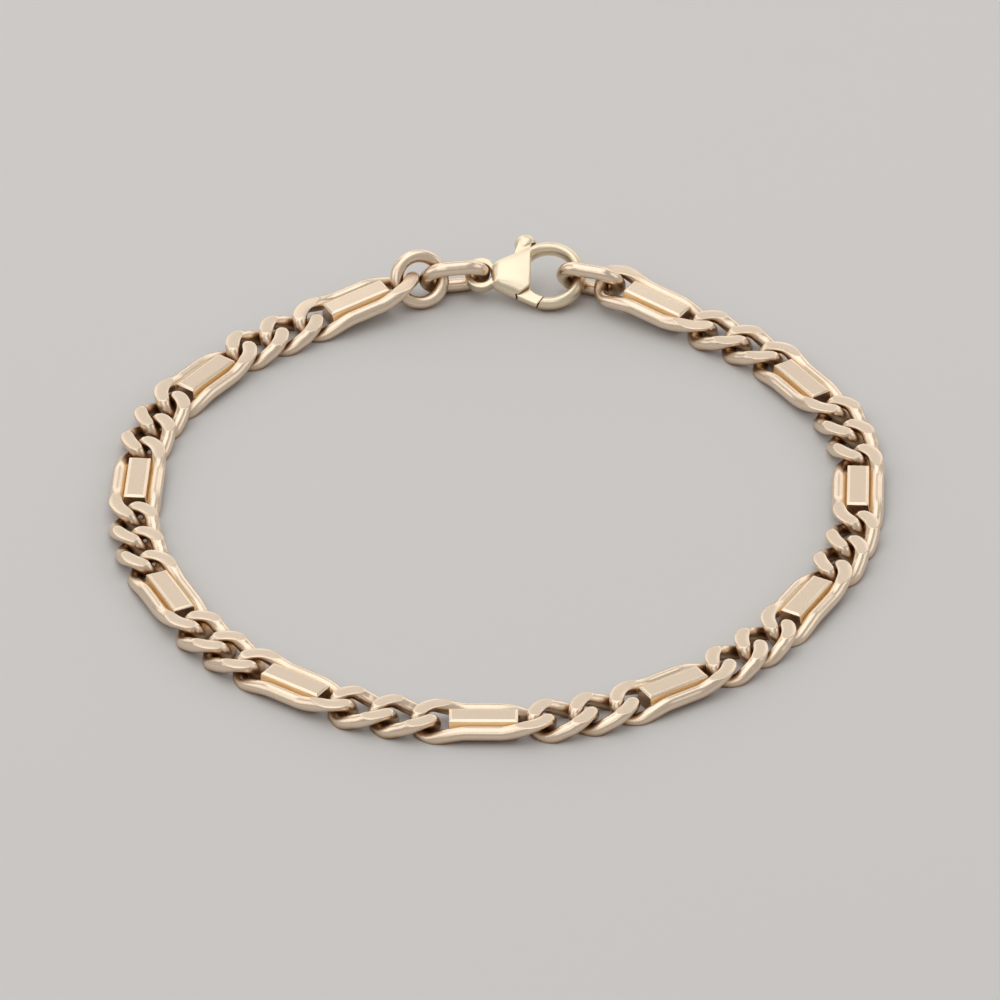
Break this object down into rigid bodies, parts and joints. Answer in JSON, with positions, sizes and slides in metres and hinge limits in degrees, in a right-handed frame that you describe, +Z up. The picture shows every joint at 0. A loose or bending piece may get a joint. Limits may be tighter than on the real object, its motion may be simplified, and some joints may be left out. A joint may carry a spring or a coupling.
{
  "type": "link bracelet",
  "caption": "Gold curb link bracelet whose long links hold flat bars, fastened by a lobster clasp on a jump ring.",
  "frame": {"origin": "the middle of the loop's box, on the surface that the bracelet lies on", "axes": "+Z up, +Y towards the clasp at the back of the loop, +X across the loop to the right"},
  "size_m": [0.0662, 0.0696, 0.0045],
  "materials": {
    "link_gold": "polished, with worn flats",
    "clasp_gold": "polished"
  },
  "bodies": {
    "bracelet": {"bar_link_01": "link_gold", "bar_link_02": "link_gold", "bar_link_03": "link_gold", "bar_link_04": "link_gold", "bar_link_05": "link_gold", "bar_link_06": "link_gold", "bar_link_07": "link_gold", "bar_link_08": "link_gold", "bar_link_09": "link_gold", "bar_link_10": "link_gold", "bar_link_11": "link_gold", "curb_link_01": "link_gold", "curb_link_02": "link_gold", "curb_link_03": "link_gold", "curb_link_04": "link_gold", "curb_link_05": "link_gold", "curb_link_06": "link_gold", "curb_link_07": "link_gold", "curb_link_08": "link_gold", "curb_link_09": "link_gold", "curb_link_10": "link_gold", "curb_link_11": "link_gold", "curb_link_12": "link_gold", "curb_link_13": "link_gold", "curb_link_14": "link_gold", "curb_link_15": "link_gold", "curb_link_16": "link_gold", "curb_link_17": "link_gold", "curb_link_18": "link_gold", "curb_link_19": "link_gold", "curb_link_20": "link_gold", "jump_ring": "link_gold", "end_link_tail": "link_gold", "end_link_hook": "link_gold", "clasp_body": "clasp_gold"},
    "lever": {"clasp_lever": "clasp_gold"}
  },
  "joints": [
    {"name": "lever_hinge", "type": "hinge", "parent": "bracelet", "child": "lever", "pos_m": [0.00119, 0.03048, 0.0017], "axis": [-0.0134, -0.4998, 0.866], "range_deg": [0, 45], "stiffness_Nm_per_rad": 0.0005, "springref_deg": -17.19}
  ]
}
